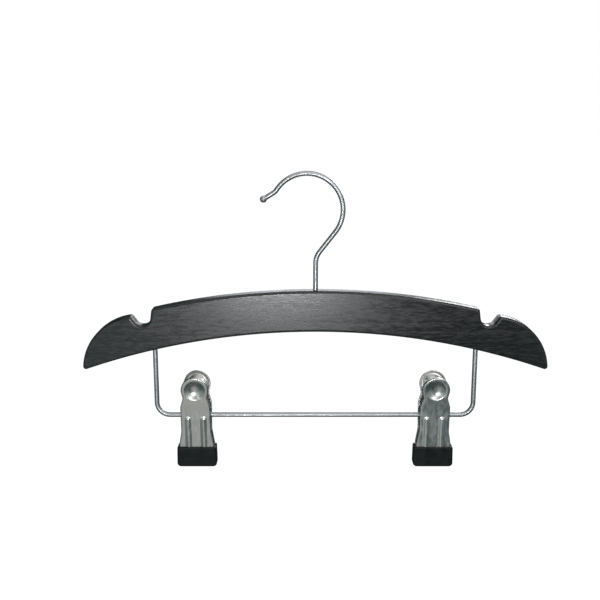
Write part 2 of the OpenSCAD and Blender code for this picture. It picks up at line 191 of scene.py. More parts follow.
def outline(corners, inset):
    """A closed outline from its corners, with its straight stretches cut into short steps."""
    step, longest = 5, 0.8
    n = len(corners)
    at = [np.array(c[0], float) for c in corners]
    arcs = [corner(at[i - 1], at[i], at[(i + 1) % n], corners[i][1], inset, step) for i in range(n)]
    cuts = [corner(at[i - 1], at[i], at[(i + 1) % n], corners[i][1], 0, step) for i in range(n)]
    points = []
    for i in range(n):
        gap_before = np.linalg.norm(cuts[i][0] - cuts[i - 1][-1])
        points += arcs[i] if gap_before > 0.001 else arcs[i][1:]
        gap = np.linalg.norm(cuts[(i + 1) % n][0] - cuts[i][-1])
        steps = max(1, ceil(gap / longest))
        p, q = arcs[i][-1], arcs[(i + 1) % n][0]
        points += [p + (q - p) * k / steps for k in range(1, steps)]
    return np.array(points)


def mirrored(corners):
    return [((-c[0][0], c[0][1]), c[1]) for c in reversed(corners)]


# Meshes
def new_piece(name, verts, faces, scale=MM, smooth_below=SMOOTH_BELOW):
    """A mesh object from points in millimetres, smooth except at edges sharper than an angle."""
    mesh = bpy.data.meshes.new(name)
    mesh.from_pydata([tuple(float(c) * scale for c in v) for v in verts], [], [list(f) for f in faces])
    mesh.validate()
    piece = bpy.data.objects.new(name, mesh)
    bpy.context.scene.collection.objects.link(piece)
    face_outward(piece, smooth_below)
    return piece


def face_outward(piece, smooth_below):
    work = bmesh.new()
    work.from_mesh(piece.data)
    bmesh.ops.recalc_face_normals(work, faces=work.faces)
    work.to_mesh(piece.data)
    work.free()
    shade(piece, smooth_below)


def shade(piece, smooth_below=SMOOTH_BELOW):
    mesh = piece.data
    mesh.polygons.foreach_set("use_smooth", [True] * len(mesh.polygons))
    mesh.set_sharp_from_angle(angle=radians(smooth_below))


def band(n, a, b):
    """Quads between two closed rings of n points that start at points a and b."""
    return [(a + i, a + (i + 1) % n, b + (i + 1) % n, b + i) for i in range(n)]


def sweep(path, radii, sides):
    """Points and faces of a closed tube along a path."""
    path = [Vector(p) for p in path]
    tangents = []
    for i in range(len(path)):
        a, b = path[max(i - 1, 0)], path[min(i + 1, len(path) - 1)]
        tangents.append((b - a).normalized())
    side = tangents[0].orthogonal().normalized()
    verts = [path[0].copy()]
    for p, t, r in zip(path, tangents, radii):
        side = (side - side.dot(t) * t).normalized()
        up = t.cross(side)
        for k in range(sides):
            a = 2 * pi * k / sides
            verts.append(p + r * (cos(a) * side + sin(a) * up))
    verts.append(path[-1].copy())
    faces = [(0, 1 + (k + 1) % sides, 1 + k) for k in range(sides)]
    for i in range(len(path) - 1):
        faces += band(sides, 1 + i * sides, 1 + (i + 1) * sides)
    last = 1 + (len(path) - 1) * sides
    faces += [(len(verts) - 1, last + k, last + (k + 1) % sides) for k in range(sides)]
    return verts, faces


def merged(*shells):
    """Points and faces of several closed shells, each [points, faces], as one list of each."""
    verts, faces = [], []
    for shell_verts, shell_faces in shells:
        faces += [tuple(len(verts) + i for i in f) for f in shell_faces]
        verts += list(shell_verts)
    return verts, faces


def cut(piece, tool, operation="DIFFERENCE"):
    """Takes a tool's shape out of a piece, or joins it on, and removes the tool."""
    change = piece.modifiers.new("cut", "BOOLEAN")
    change.operation = operation
    change.object = tool
    change.solver = "EXACT"
    depsgraph = bpy.context.evaluated_depsgraph_get()
    mesh = bpy.data.meshes.new_from_object(piece.evaluated_get(depsgraph))
    piece.modifiers.clear()
    old = piece.data
    piece.data = mesh
    bpy.data.meshes.remove(old)
    bpy.data.objects.remove(tool)
    work = bmesh.new()
    work.from_mesh(piece.data)
    bmesh.ops.remove_doubles(work, verts=work.verts, dist=WELD * MM)
    work.to_mesh(piece.data)
    work.free()
    shade(piece)
    return piece


def upright(x, *steps):
    """Points and faces of a round shape on a vertical axis at x, from steps of (height, radius)."""
    return sweep([(x, 0, z) for z, _ in steps], [r for _, r in steps], ROUND_SIDES)


# Materials
def material(name, colour, roughness, metallic=0.0, **inputs):
    """A principled material, and a helper that adds its nodes."""
    mat = bpy.data.materials.new(name)
    mat.use_nodes = True
    tree = mat.node_tree
    shader = tree.nodes["Principled BSDF"]
    shader.inputs["Base Color"].default_value = (*colour, 1)
    shader.inputs["Roughness"].default_value = roughness
    shader.inputs["Metallic"].default_value = metallic
    for key, value in inputs.items():
        shader.inputs[key.replace("_", " ")].default_value = value
    return mat, tree, shader


def node(tree, kind, **values):
    made = tree.nodes.new(kind)
    for key, value in values.items():
        if key in made.inputs:
            made.inputs[key].default_value = value
        else:
            setattr(made, key, value)
    return made


def stretched(tree, scale):
    """Object coordinates in metres, multiplied by scale along each axis."""
    coords = node(tree, "ShaderNodeTexCoord")
    mapping = node(tree, "ShaderNodeMapping", Scale=scale)
    tree.links.new(coords.outputs["Object"], mapping.inputs["Vector"])
    return mapping.outputs["Vector"]


def noise(tree, scale, detail, rough=0.55):
    """Noise whose scale along each axis is in cells to the metre."""
    made = node(tree, "ShaderNodeTexNoise", Scale=1.0, Detail=detail, Roughness=rough)
    tree.links.new(stretched(tree, scale), made.inputs["Vector"])
    return made.outputs["Fac"]


def ramp(tree, source, *stops):
    """A value turned into a colour or a grey by stops of (place, colour or grey)."""
    made = node(tree, "ShaderNodeValToRGB")
    elements = made.color_ramp.elements
    while len(elements) < len(stops):
        elements.new(0.5)
    for element, (place, shown) in zip(elements, stops):
        element.position = place
        rgb = shown if isinstance(shown, tuple) else (shown, shown, shown)
        element.color = (*rgb, 1)
    tree.links.new(source, made.inputs["Fac"])
    return made.outputs["Color"]


def maths(tree, operation, a, b):
    made = node(tree, "ShaderNodeMath", operation=operation)
    for socket, value in zip(made.inputs, (a, b)):
        if isinstance(value, (int, float)):
            socket.default_value = value
        else:
            tree.links.new(value, socket)
    return made.outputs["Value"]


def bump(tree, shader, source, distance, strength, before=None):
    """Unevenness with a depth in metres, laid over the one before it."""
    made = node(tree, "ShaderNodeBump", Strength=strength, Distance=distance)
    tree.links.new(source, made.inputs["Height"])
    if before is not None:
        tree.links.new(before, made.inputs["Normal"])
    tree.links.new(made.outputs["Normal"], shader.inputs["Normal"])
    return made.outputs["Normal"]


def stained_wood():
    """Black stain over fine straight grain, with a satin lacquer."""
    mat, tree, shader = material("stained_wood", (0.02, 0.021, 0.022), 0.3)
    bands = noise(tree, (9, 60, 260), 5, 0.6)
    fibres = noise(tree, (150, 450, 1000), 5, 0.6)
    pores = noise(tree, (90, 900, 2600), 2, 0.5)
    band_share = 0.3
    mixed = maths(tree, "ADD", maths(tree, "MULTIPLY", bands, band_share),
                  maths(tree, "MULTIPLY", fibres, 1 - band_share))
    colour = ramp(tree, mixed, (0.40, (0.0070, 0.0075, 0.0080)), (0.50, (0.011, 0.0117, 0.0124)),
                  (0.60, (0.018, 0.0190, 0.0202)))
    tree.links.new(colour, shader.inputs["Base Color"])
    tree.links.new(ramp(tree, mixed, (0.42, 0.20), (0.58, 0.32)), shader.inputs["Roughness"])
    first = bump(tree, shader, fibres, 0.00003, 0.45)
    bump(tree, shader, ramp(tree, pores, (0.30, 0.0), (0.42, 1.0)), 0.00002, 0.2, first)
    return mat


def plated_metal(name, colour, roughness, fine=700):
    """Plated metal with faint clouding and fine marks."""
    mat, tree, shader = material(name, colour, roughness, metallic=1.0)
    cloud = noise(tree, (fine / 6,) * 3, 4)
    marks = noise(tree, (fine, fine, fine / 3), 3)
    clouded, polished, worn = 0.88, 0.8, 1.35
    dark = tuple(c * clouded for c in colour)
    tree.links.new(ramp(tree, cloud, (0.35, dark), (0.65, colour)), shader.inputs["Base Color"])
    rough = ramp(tree, marks, (0.35, roughness * polished), (0.7, roughness * worn))
    tree.links.new(rough, shader.inputs["Roughness"])
    bump(tree, shader, cloud, 0.000006, 0.2)
    return mat


def black_vinyl():
    """Soft dipped vinyl, with the uneven skin that dipping leaves."""
    mat, tree, shader = material("black_vinyl", (0.005, 0.007, 0.007), 0.5, Specular_IOR_Level=0.22)
    waves = noise(tree, (160, 160, 120), 3)
    grains = noise(tree, (2500, 2500, 2500), 2)
    colour = ramp(tree, waves, (0.35, (0.0025, 0.0038, 0.0037)), (0.65, (0.0065, 0.0090, 0.0088)))
    tree.links.new(colour, shader.inputs["Base Color"])
    tree.links.new(ramp(tree, waves, (0.35, 0.42), (0.65, 0.58)), shader.inputs["Roughness"])
    first = bump(tree, shader, waves, 0.0002, 0.3)
    bump(tree, shader, grains, 0.00002, 0.3, first)
    return mat


# Board
def meet_circle(p, way, centre, r):
    """Where a line from p, inside a circle, meets it."""
    q = p - centre
    b = q @ way
    return p + (sqrt(b * b - q @ q + r * r) - b) * way


def meet_circles(c1, r1, c2, r2):
    """Where two circles cross, right of the line from c1 down to c2."""
    d = np.linalg.norm(c2 - c1)
    u = (c2 - c1) / d
    along = (r1 * r1 - r2 * r2 + d * d) / (2 * d)
    return c1 + along * u + sqrt(r1 * r1 - along * along) * np.array([-u[1], u[0]])


def wood_low_at(x):
    """Height of the board's lower edge at x, from the middle of its top."""
    return -WOOD_H - WOOD_BOTTOM_R + sqrt(WOOD_BOTTOM_R ** 2 - x ** 2)


TIP_X = WOOD_L / 2
TOP_C = np.array([0, -WOOD_TOP_R])
BOTTOM_C = np.array([0, -WOOD_H - WOOD_BOTTOM_R])
END_C = np.array([TIP_X - WOOD_END_R, wood_low_at(TIP_X)])
NOTCH_C = np.array([NOTCH_X, NOTCH_R - NOTCH_DROP])
INNER_LIP_C = meet_circle(
    NOTCH_C - polar(NOTCH_R + NOTCH_LIP_R, NOTCH_INNER_SLOPE),
    polar(1, 90 + NOTCH_INNER_SLOPE), TOP_C, WOOD_TOP_R - NOTCH_LIP_R)
OUTER_LIP_C = meet_circle(
    NOTCH_C + polar(NOTCH_R + NOTCH_LIP_R, -NOTCH_OUTER_SLOPE),
    polar(1, 90 - NOTCH_OUTER_SLOPE), END_C, WOOD_END_R - NOTCH_LIP_R)
TIP_C = meet_circles(END_C, WOOD_END_R - TIP_R, BOTTOM_C, WOOD_BOTTOM_R + TIP_R)


def board_outline(inset):
    """The board's outline, clockwise from the middle of its top edge, set in by inset."""
    at_inner = angle_of(INNER_LIP_C - TOP_C)
    at_outer = angle_of(OUTER_LIP_C - END_C)
    at_tip = angle_of(TIP_C - END_C)
    half = (
        arc(TOP_C, WOOD_TOP_R - inset, 90, at_inner, 40)
        + arc(INNER_LIP_C, NOTCH_LIP_R - inset, at_inner, NOTCH_INNER_SLOPE, 9, 1)
        + arc(NOTCH_C, NOTCH_R + inset, 180 + NOTCH_INNER_SLOPE, 360 - NOTCH_OUTER_SLOPE, 26)
        + arc(OUTER_LIP_C, NOTCH_LIP_R - inset, 180 - NOTCH_OUTER_SLOPE, at_outer, 8)
        + arc(END_C, WOOD_END_R - inset, at_outer, at_tip, 44, 1)
        + arc(TIP_C, TIP_R - inset, at_tip, angle_of(BOTTOM_C - TIP_C), 12, 1)
        + arc(BOTTOM_C, WOOD_BOTTOM_R + inset, angle_of(TIP_C - BOTTOM_C), 90, 50, 1))
    return half + [np.array([-p[0], p[1]]) for p in half[-2:0:-1]]


def make_board():
    """The board with its edges rounded over, its stem hole and counterbore, and its leg holes."""
    steps = 8
    # A narrow flat ring keeps the shading of the rounding off the flat face
    flat_ring = 0.2
    spacing = 5
    half = []
    for a in [90 * i / steps for i in range(steps + 1)]:
        half.append((WOOD_T / 2 - EDGE_R * (1 - sin(radians(a))), EDGE_R * (1 - cos(radians(a)))))
    half.append((WOOD_T / 2, EDGE_R + flat_ring))
    layers = [(-y, inset) for y, inset in reversed(half)] + half
    points, triangles = fill(np.array(board_outline(EDGE_R + flat_ring)), spacing)
    verts = []
    for y, inset in layers:
        verts += [(STEM_X + p[0], y, WOOD_TOP + p[1]) for p in board_outline(inset)]
    n = len(verts) // len(layers)
    faces = []
    for k in range(len(layers) - 1):
        faces += band(n, k * n, (k + 1) * n)
    for y, first in ((-WOOD_T / 2, 0), (WOOD_T / 2, n * (len(layers) - 1))):
        inner = len(verts) - n
        verts += [(STEM_X + p[0], y, WOOD_TOP + p[1]) for p in points[n:]]
        faces += [tuple(first + i if i < n else inner + i for i in f) for f in triangles]
    board = new_piece("board", verts, faces)
    roof = WOOD_TOP - WOOD_H + CBORE_DEPTH
    cbore_r, stem_r, leg_r = CBORE_D / 2, HOOK_D / 2 + RUN_FIT, BAR_D / 2 + SNUG_FIT
    # The holes' tools end well clear of the wood
    below, above = WOOD_TOP - 2 * WOOD_H, WOOD_TOP + 5
    holes = [upright(STEM_X, (below, cbore_r), (roof, cbore_r), (roof, stem_r), (above, stem_r))]
    leg_top = WOOD_TOP + wood_low_at(LEG_X) + LEG_DEPTH + SNUG_FIT
    for side in (-1, 1):
        holes.append(upright(STEM_X + side * LEG_X, (below, leg_r), (leg_top, leg_r)))
    return cut(board, new_piece("holes", *merged(*holes)))


# Wires
class Walk:
    """A path in the XZ plane made of straight runs and bends."""

    def __init__(self, at, heading):
        self.at = np.array(at, float)
        self.heading = heading
        self.points = [self.at.copy()]

    def run(self, length, steps=1):
        for _ in range(steps):
            self.at = self.at + polar(length / steps, self.heading)
            self.points.append(self.at.copy())
        return self

    def bend(self, r, turn, steps):
        """Turns right by turn degrees, or left where it is negative."""
        side = 1 if turn > 0 else -1
        centre = self.at + polar(r, self.heading - 90 * side)
        start = self.heading + 90 * side
        for i in range(1, steps + 1):
            self.points.append(centre + polar(r, start - turn * i / steps))
        self.at = self.points[-1].copy()
        self.heading -= turn
        return self

    def path(self):
        return [Vector((p[0], 0, p[1])) for p in self.points]


def make_hook():
    """The hook's wire: stem, bend, neck, crook, lip and ball."""
    foot = low("hook_wire", 2)
    crook_z = HOOK_D / 2 - CROOK_R
    neck = radians(NECK_ANGLE)
    neck_l = (CROOK_R * cos(neck) - STEM_X - NECK_BEND_R * (1 - cos(neck))) / sin(neck)
    bend_z = crook_z - CROOK_R * sin(neck) - neck_l * cos(neck) - NECK_BEND_R * sin(neck)
    walk = Walk((STEM_X, foot), 90)
    walk.run(bend_z - foot, 6).bend(NECK_BEND_R, NECK_ANGLE, 14).run(neck_l, 4)
    walk.bend(CROOK_R, -(NECK_ANGLE + CROOK_END), 72).bend(LIP_BEND_R, LIP_TURN, 8)
    walk.run(LIP_L - BALL_D / 2, 3)
    path = walk.path()
    radii = [HOOK_D / 2] * len(path)
    # The wire's end is upset into a ball, which starts where the ball is as thick as the wire
    way = (path[-1] - path[-2]).normalized()
    centre = path[-1] + way * BALL_D / 2
    start = asin(HOOK_D / BALL_D)
    steps = 12
    least_r = 0.02
    for k in range(steps + 1):
        a = start + (pi - start) * k / steps
        path.append(centre - way * cos(a) * BALL_D / 2)
        radii.append(max(sin(a) * BALL_D / 2, least_r))
    verts, faces = sweep(path, radii, WIRE_SIDES)
    return new_piece("hook", verts, faces, smooth_below=60)


def make_bar():
    """The bar's wire: a leg down, the level part and a leg up."""
    top = high("clip_bar", 2)
    walk = Walk((STEM_X - LEG_X, top), -90)
    leg = top - BAR_Z - BAR_BEND_R
    walk.run(leg, 6).bend(BAR_BEND_R, -90, 20).run(2 * (LEG_X - BAR_BEND_R), 24)
    walk.bend(BAR_BEND_R, -90, 20).run(leg, 6)
    path = walk.path()
    verts, faces = sweep(path, [BAR_D / 2] * len(path), WIRE_SIDES)
    return new_piece("bar", verts, faces)


# Clip jaws
def face_out(z):
    """Distance of the jaw's outer face from the clip's middle plane at height z."""
    lower = JAW_OUT + z * tan(FOOT_LEAN)
    upper = JAW_OUT + LEAN_BEND_Z * tan(FOOT_LEAN) + (z - LEAN_BEND_Z) * tan(EAR_LEAN)
    # The two slopes blend over a short stretch round the bend
    gap = upper - lower
    soft = LEAN_BEND_HALF * (tan(EAR_LEAN) - tan(FOOT_LEAN))
    return lower + (gap + sqrt(gap * gap + soft * soft)) / 2


def raised(height, soft):
    """The positive part of a height, with its foot rounded off."""
    return (height + sqrt(height * height + soft * soft)) / 2


def pressed_in(x, z):
    """How far the sheet's outer face lies in from the plain face: a finger dish, less two ribs."""
    # The rims' roundness, and the share of a radius beyond which a slope no longer steepens
    dish_soft, rib_soft, steepest = 0.3, 0.1, 0.98
    ball = (DISH_R ** 2 + DISH_DEPTH ** 2) / (2 * DISH_DEPTH)
    r = min(hypot(x, z - EAR_Z), steepest * ball)
    depth = raised(sqrt(ball ** 2 - r ** 2) - (ball - DISH_DEPTH), dish_soft)
    bar = ((RIB_W / 2) ** 2 + RIB_H ** 2) / (2 * RIB_H)
    top = RIB_TOP - RIB_W / 2
    across = abs(abs(x) - RIB_X)
    r = min(hypot(across, max(z - top, 0), max(-RIB_LOW - z, 0)), steepest * bar)
    return depth - raised(sqrt(bar ** 2 - r ** 2) - (bar - RIB_H), rib_soft)


def jaw_corners():
    """The jaw's outline as corners and their radii, counterclockwise from the foot's right corner."""
    touch = np.array([0, EAR_Z]) + polar(EAR_R, -WAIST_ANGLE)
    waist = touch - WAIST_L * polar(1, 90 - WAIST_ANGLE)
    right = [
        ((FOOT_X, -JAW_LOW), 2),
        ((FOOT_X, -FLARE_END), 6),
        ((SHOULDER_X, -FLARE_TOP), 14),
        ((SHOULDER_X, SHOULDER_Z), 3),
        (tuple(waist), WAIST_R),
        ((EAR_R, EAR_Z - EAR_R * tan(radians(WAIST_ANGLE) / 2)), EAR_R),
        ((EAR_R, EAR_Z + EAR_R), EAR_R)]
    return right + mirrored(right)


def tab_profile():
    """A bearing tab from the side: its two roots in the sheet, and the angles its round end spans."""
    high_root = np.array([face_out(SHOULDER_Z) - SHEET_T / 2, SHOULDER_Z])
    low_root = np.array([face_out(-FLARE_TOP) - SHEET_T / 2, -FLARE_TOP])
    high_touch = angle_of(high_root) + degrees(acos(TAB_R / np.linalg.norm(high_root)))
    low_touch = angle_of(low_root) - degrees(acos(TAB_R / np.linalg.norm(low_root)))
    return high_root, low_root, high_touch, low_touch + 360


def tab_reach(z):
    """How far a bearing tab's end lies from the middle plane at height z, outward positive, or None."""
    high_root, low_root, high_touch, low_touch = tab_profile()
    if not low_root[1] < z < high_root[1]:
        return None
    top, bottom = polar(TAB_R, high_touch), polar(TAB_R, low_touch)
    if z > top[1]:
        return top[0] + (z - top[1]) * (high_root[0] - top[0]) / (high_root[1] - top[1])
    if z < bottom[1]:
        return bottom[0] + (z - bottom[1]) * (low_root[0] - bottom[0]) / (low_root[1] - bottom[1])
    return -sqrt(TAB_R ** 2 - z ** 2)


def edge_depth(z, front):
    """How far the turned-in edge reaches in from the outer face at height z."""
    share = min(max((-FLARE_TOP - z) / (FLARE_END - FLARE_TOP), 0), 1)
    depth = EDGE_IN + share * (FOOT_EDGE_IN - EDGE_IN)
    if front:
        reach = tab_reach(z)
        return depth if reach is None else max(depth, face_out(z) - reach)
    relief = TAB_R + 2 * FACE_GAP
    if abs(z) < relief:
        depth = min(depth, face_out(z) - sqrt(relief ** 2 - z ** 2))
    return depth


def fill(loop, spacing=0.62):
    """Triangles over the inside of a closed loop, with extra points on a grid inside it."""
    # Rows stand closer than their points, and the grid keeps off the loop
    row_share, clear_share = 0.87, 0.6
    lowest, highest = loop.min(0), loop.max(0)
    grid = []
    row = 0
    z = lowest[1] + spacing / 2
    while z < highest[1]:
        shift = spacing / 2 if row % 2 else 0
        grid += [(x, z) for x in np.arange(lowest[0] + shift, highest[0], spacing)]
        z += spacing * row_share
        row += 1
    grid = np.array(grid)
    inside = np.zeros(len(grid), bool)
    nearest = np.full(len(grid), 1e9)
    for p, q in zip(loop, np.roll(loop, -1, 0)):
        crosses = (p[1] > grid[:, 1]) != (q[1] > grid[:, 1])
        if p[1] != q[1]:
            at = p[0] + (grid[:, 1] - p[1]) * (q[0] - p[0]) / (q[1] - p[1])
            inside ^= crosses & (grid[:, 0] < at)
        way = q - p
        t = np.clip(((grid - p) @ way) / (way @ way), 0, 1)
        nearest = np.minimum(nearest, np.linalg.norm(grid - p - t[:, None] * way, axis=1))
    grid = grid[inside & (nearest > clear_share * spacing)]
    points = np.vstack([loop, grid])
    n = len(loop)
    flat = [Vector(p) for p in points]
    _, _, faces, origins, *_ = geometry.delaunay_2d_cdt(flat, [], [list(range(n))], 1, 1e-5)
    back = [o[0] for o in origins]
    return points, [tuple(back[i] for i in f) for f in faces]


def make_jaw(name, front):
    """The pressed sheet: a face with a dish and two ribs, and its edge turned in all round."""
    corners = jaw_corners()
    rolled = [radians(90 - 15 * i) for i in range(7)]
    profile = [(RIM_R * (1 - cos(a)), RIM_R * (1 - sin(a))) for a in rolled]
    inner_r = RIM_R - SHEET_T
    inner = [(RIM_R - inner_r * cos(a), RIM_R - inner_r * sin(a)) for a in reversed(rolled)]
    loop = outline(corners, RIM_R)
    n = len(loop)
    points, triangles = fill(loop)

    def place(p, depth):
        return (p[0], -(face_out(p[1]) - depth - pressed_in(p[0], p[1])), p[1])

    verts = [place(p, 0) for p in points] + [place(p, SHEET_T) for p in points]
    count = len(points)
    faces = list(triangles) + [tuple(count + i for i in reversed(f)) for f in triangles]
    rings = [list(range(n))]

    def add_ring(ring, depths):
        rings.append(list(range(len(verts), len(verts) + n)))
        verts.extend((p[0], -(face_out(p[1]) - d - pressed_in(q[0], q[1])), p[1])
                     for p, q, d in zip(ring, loop, depths))

    for inset, depth in profile[1:]:
        add_ring(outline(corners, inset), [depth] * n)
    plain = outline(corners, 0)
    wall = outline(corners, SHEET_T)
    # Bevel of the turned-in edge, and that edge's least depth
    lip, least = 0.2, RIM_R + 0.3
    edge = [max(edge_depth(p[1], front), least) for p in plain]
    wall_edge = [max(edge_depth(p[1], front), least) for p in wall]
    for share in (0.5, 1.0):
        add_ring(plain, [RIM_R + share * (e - lip - RIM_R) for e in edge])
    add_ring(outline(corners, lip), edge)
    add_ring(outline(corners, SHEET_T - lip), edge)
    add_ring(wall, [e - lip for e in wall_edge])
    for inset, depth in inner[:-1]:
        add_ring(outline(corners, inset), [depth] * n)
    rings.append(list(range(count, count + n)))
    for a, b in zip(rings, rings[1:]):
        faces += [(a[(i + 1) % n], a[i], b[i], b[(i + 1) % n]) for i in range(n)]
    return new_piece(name, verts, faces)


def make_tabs():
    """The rear jaw's two bearing tabs, which run inside the front jaw's."""
    high_root, low_root, high_touch, low_touch = tab_profile()
    steps = 28
    side = [low_root, high_root] + arc((0, 0), TAB_R, high_touch, low_touch, steps)
    shells = []
    for s in (-1, 1):
        x = s * (SHOULDER_X - SHEET_T - FACE_GAP - SHEET_T / 2)
        verts = [(x + e * SHEET_T / 2, -p[0], p[1]) for e in (-1, 1) for p in side]
        n = len(side)
        faces = [tuple(range(n)), tuple(range(2 * n - 1, n - 1, -1))]
        faces += [tuple(reversed(q)) for q in band(n, 0, n)]
        shells.append((verts, faces))
    return new_piece("tabs", *merged(*shells))


def bore(piece):
    """Bores a jaw's walls or tabs for the bar."""
    reach = 2 * SHOULDER_X
    drill = sweep([(-reach, 0, 0), (reach, 0, 0)], [BAR_D / 2 + RUN_FIT] * 2, ROUND_SIDES)
    return cut(piece, new_piece("drill", *drill))


# Caps
def drawn_in(r, h):
    """How far a rounding of radius r lies in at height h above its foot."""
    return r - sqrt(max(r * r - (r - min(h, r)) ** 2, 0))


def make_cap():
    """A vinyl cap: a block with rounded edges round the jaw's foot, a little swollen over the ribs."""
    low_z = -(JAW_LOW + SNUG_FIT + CAP_FLOOR)
    height = -CAP_TOP - low_z
    # Radii: upright edges, top, bottom as seen from the front and from the side, and mouth
    corner_r, top_r, bottom_r, toe_r, mouth_r = 1.1, 0.9, 3.2, 1.0, 0.5
    taper = 0.5
    # The swelling over each rib, and the droop of the top edge there: height, and how far each spreads
    swell_t, swell_w, swell_l = 0.3, 2.0, 5.0
    droop_h, droop_l = 0.28, 1.2
    # How much of the top's rounding each face takes, and the mouth's corners as a share of the outer ones
    side_share, face_share, mouth_share, inner_share = 0.8, 0.7, 0.5, 0.6
    per_side, per_end, per_corner = 26, 4, 6
    round_end = 3.4
    levels = [0, 0.12, 0.3, 0.6, 1.0, 1.5, 2.1, 2.8, round_end]
    levels += [round_end + (height - top_r - round_end) * i / 10 for i in range(1, 11)]
    levels += [height - top_r + top_r * sin(radians(a)) for a in (22, 45, 67, 90)]

    def ring(h):
        z = low_z + h
        near_top = max(h - (height - top_r), 0)
        top_in = top_r - sqrt(max(top_r ** 2 - near_top ** 2, 0))
        x = CAP_W / 2 - taper * h / height - drawn_in(bottom_r, h) - top_in * side_share
        out = face_out(z) + CAP_SKIN - drawn_in(toe_r, h) - top_in * face_share
        mouth = FACE_GAP / 2 + drawn_in(mouth_r, h) + top_in * mouth_share
        corners = [((x, -out), corner_r), ((x, -mouth), corner_r * inner_share),
                   ((-x, -mouth), corner_r * inner_share), ((-x, -out), corner_r)]
        at = [np.array(c[0]) for c in corners]
        rounded = [corner(at[i - 1], at[i], at[(i + 1) % 4], corners[i][1], 0, 90 / per_corner)
                   for i in range(4)]
        points = []
        for i in range(4):
            points += rounded[i]
            steps = per_side if i in (1, 3) else per_end
            p, q = rounded[i][-1], rounded[(i + 1) % 4][0]
            points += [p + (q - p) * k / steps for k in range(1, steps)]
        shown = []
        for p in points:
            swell = sum(np.exp(-((p[0] - s * RIB_X) / swell_w) ** 2) for s in (-1, 1))
            fade = np.exp(-((height - h) / swell_l) ** 2)
            on_front = 1 if p[1] < -(out + mouth) / 2 else 0
            droop = droop_h * swell * np.exp(-((height - h) / droop_l) ** 2) * on_front
            shown.append((p[0], p[1] - swell_t * swell * fade * on_front, z + droop))
        return shown

    verts = []
    for h in levels:
        verts += ring(h)
    n = len(verts) // len(levels)
    faces = [tuple(range(n)), tuple(range(len(verts) - 1, len(verts) - n - 1, -1))]
    for k in range(len(levels) - 1):
        faces += [tuple(reversed(q)) for q in band(n, k * n, (k + 1) * n)]
    return new_piece("cap", verts, faces)


# Springs
def make_spring(name, x, z):
    """A torsion spring round the bar with a leg up each jaw, and half the length of its coil."""
    coil_steps, leg_steps = 150, 6
    seat_z = SPRING_LEG_Z
    seat = np.array([face_out(seat_z) - (SHEET_T + FACE_GAP + SPRING_D / 2) / cos(EAR_LEAN), seat_z])
    lean = degrees(atan2(seat[0], seat[1]) - asin(COIL_R / np.linalg.norm(seat)))
    leg = (seat[1] + COIL_R * sin(radians(lean))) / cos(radians(lean))
    start, stop = 180 + lean, 360 * (COIL_TURNS + 1) - lean
    middle_turn = (start + stop) / 2

    def on_coil(a):
        along = COIL_PITCH * (a - middle_turn) / 360
        return Vector((along, COIL_R * cos(radians(a)), COIL_R * sin(radians(a))))

    def way(a):
        return Vector((0, -sin(radians(a)), cos(radians(a))))

    turns = [start + (stop - start) * i / coil_steps for i in range(coil_steps + 1)]
    path = [on_coil(start) - way(start) * leg * k / leg_steps for k in range(leg_steps, 0, -1)]
    path += [on_coil(a) for a in turns]
    path += [on_coil(stop) + way(stop) * leg * k / leg_steps for k in range(1, leg_steps + 1)]
    verts, faces = sweep(path, [SPRING_D / 2] * len(path), SPRING_SIDES)
    spring = new_piece(name, [Vector((v[0] + x, v[1], v[2] + z)) for v in verts], faces)
    reach = COIL_PITCH * (stop - start) / 720
    return spring, reach


def placed(master, name, x, mirror=False):
    """A copy of a clip piece at its place on the bar, mirrored to the rear if mirror is set."""
    piece = bpy.data.objects.new(name, master.data.copy())
    bpy.context.scene.collection.objects.link(piece)
    if mirror:
        piece.data.transform(Matrix.Scale(-1, 4, (0, 1, 0)))
        piece.data.flip_normals()
    piece.data.transform(Matrix.Translation((x * MM, 0, BAR_Z * MM)))
    return piece


def dress(piece, mat, body, slot, *nodes):
    """Gives a piece its material, hides the nodes, and attaches it to its body if one is given; slot is
    not used.
    """
    piece.data.materials.clear()
    piece.data.materials.append(mat)
    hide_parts(*nodes)
    if body:
        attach(piece, body)


wood = stained_wood()
wire = plated_metal("plated_wire", (0.40, 0.405, 0.42), 0.36)
fastener = plated_metal("plated_fastener", (0.48, 0.49, 0.50), 0.34)
sheet = plated_metal("chromed_sheet", (0.53, 0.525, 0.50), 0.31, 500)
vinyl = black_vinyl()
spring_steel = plated_metal("spring_wire", (0.36, 0.36, 0.37), 0.3)

dress(make_board(), wood, "hanger", "stained_wood", "wood_body")
dress(make_hook(), wire, "hook", "plated_wire", "hook_wire")
dress(make_bar(), wire, "hanger", "plated_wire", "clip_bar")
for name in ("hook_washer", "hook_nut"):
    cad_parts[name].data.materials.clear()
    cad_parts[name].data.materials.append(fastener)

front_master = bore(make_jaw("front_master", True))
rear_master = make_jaw("rear_master", False)
rear_master = bore(cut(rear_master, make_tabs(), "UNION"))
cap_master = make_cap()
for side, sign in (("left", -1), ("right", 1)):
    x = STEM_X + sign * CLIP_X
    for end, master in (("front", front_master), ("rear", rear_master)):
        body = f"{side}_{end}"
        jaw = placed(master, f"{side}_{end}_pressed_jaw", x, end == "rear")
        dress(jaw, sheet, body, "chromed_sheet", f"{side}_{end}_jaw")
        cap = placed(cap_master, f"{side}_{end}_vinyl_cap", x, end == "rear")
        dress(cap, vinyl, body, "black_vinyl", f"{side}_{end}_cap")
    spring, reach = make_spring(f"{side}_wound_spring", x, BAR_Z)
    dress(spring, spring_steel, None, "spring_wire", f"{side}_spring")
    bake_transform(spring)
for master in (front_master, rear_master, cap_master):
    bpy.data.objects.remove(master)


